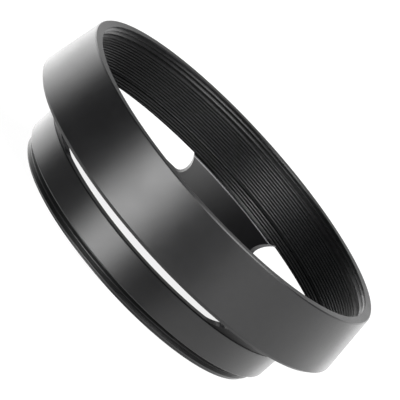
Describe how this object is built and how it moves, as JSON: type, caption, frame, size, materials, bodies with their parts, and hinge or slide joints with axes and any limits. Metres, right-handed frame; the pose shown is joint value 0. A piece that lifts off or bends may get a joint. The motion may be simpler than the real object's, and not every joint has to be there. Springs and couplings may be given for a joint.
{
  "type": "lens hood",
  "caption": "Short round metal lens hood with slotted vents, a ribbed matt bore, a front filter thread and a male rear thread that screws into the lens.",
  "frame": {"origin": "centre of the rear thread's end face, on the optical axis, where the hood stands", "axes": "+Z along the optical axis towards the front rim; +X and +Y across it, with one vent bridge near +Y"},
  "size_m": [0.0628, 0.0628, 0.0202],
  "materials": {
    "anodised_barrel": "black anodised, fine bead-blasted satin",
    "anodised_core": "black anodised, matt",
    "anodised_collar": "black anodised, fine turned satin"
  },
  "bodies": {
    "root": {"hood_barrel": "anodised_barrel", "vent_core": "anodised_core", "mount_collar": "anodised_collar"}
  },
  "joints": []
}
